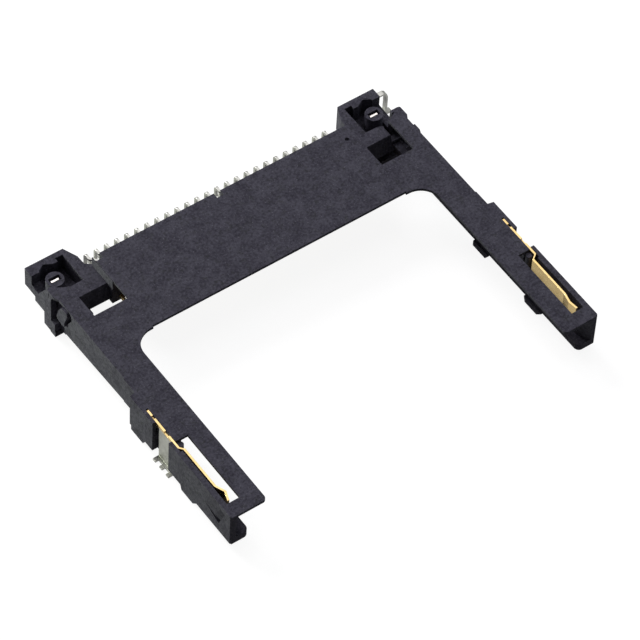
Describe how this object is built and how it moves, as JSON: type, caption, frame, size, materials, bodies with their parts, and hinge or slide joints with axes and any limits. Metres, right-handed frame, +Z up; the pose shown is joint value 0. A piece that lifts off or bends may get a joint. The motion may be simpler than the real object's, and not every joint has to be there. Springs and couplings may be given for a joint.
{
  "type": "compactflash card socket",
  "caption": "U-shaped surface-mount card socket with two guide arms, a two-row pin header, spring ground contacts and solder tails.",
  "frame": {"origin": "on the circuit board surface, under the middle of the socket's length and on its centre line", "axes": "+X across the socket to the end with the tin tab, +Y from the arm tips to the solder tails, +Z up from the board"},
  "size_m": [0.0475, 0.0388, 0.0053],
  "materials": {
    "housing_plastic": "fine matt, glass-filled",
    "contact_metal": "gold plated, tail tin plated",
    "pin_metal": "gold plated mating end, tin plated tail",
    "tin": "dull tin plate"
  },
  "bodies": {
    "root": {"housing": "housing_plastic", "contact_left": "contact_metal", "contact_right": "contact_metal", "hold_down_left": "tin", "hold_down_right": "tin", "corner_tab": "tin", "pin_u01": "pin_metal", "pin_u02": "pin_metal", "pin_u03": "pin_metal", "pin_u04": "pin_metal", "pin_u05": "pin_metal", "pin_u06": "pin_metal", "pin_u07": "pin_metal", "pin_u08": "pin_metal", "pin_u09": "pin_metal", "pin_u10": "pin_metal", "pin_u11": "pin_metal", "pin_u12": "pin_metal", "pin_u13": "pin_metal", "pin_u14": "pin_metal", "pin_u15": "pin_metal", "pin_u16": "pin_metal", "pin_u17": "pin_metal", "pin_u18": "pin_metal", "pin_u19": "pin_metal", "pin_u20": "pin_metal", "pin_u21": "pin_metal", "pin_u22": "pin_metal", "pin_u23": "pin_metal", "pin_u24": "pin_metal", "pin_u25": "pin_metal", "pin_l01": "pin_metal", "pin_l02": "pin_metal", "pin_l03": "pin_metal", "pin_l04": "pin_metal", "pin_l05": "pin_metal", "pin_l06": "pin_metal", "pin_l07": "pin_metal", "pin_l08": "pin_metal", "pin_l09": "pin_metal", "pin_l10": "pin_metal", "pin_l11": "pin_metal", "pin_l12": "pin_metal", "pin_l13": "pin_metal", "pin_l14": "pin_metal", "pin_l15": "pin_metal", "pin_l16": "pin_metal", "pin_l17": "pin_metal", "pin_l18": "pin_metal", "pin_l19": "pin_metal", "pin_l20": "pin_metal", "pin_l21": "pin_metal", "pin_l22": "pin_metal", "pin_l23": "pin_metal", "pin_l24": "pin_metal", "pin_l25": "pin_metal"}
  },
  "joints": []
}
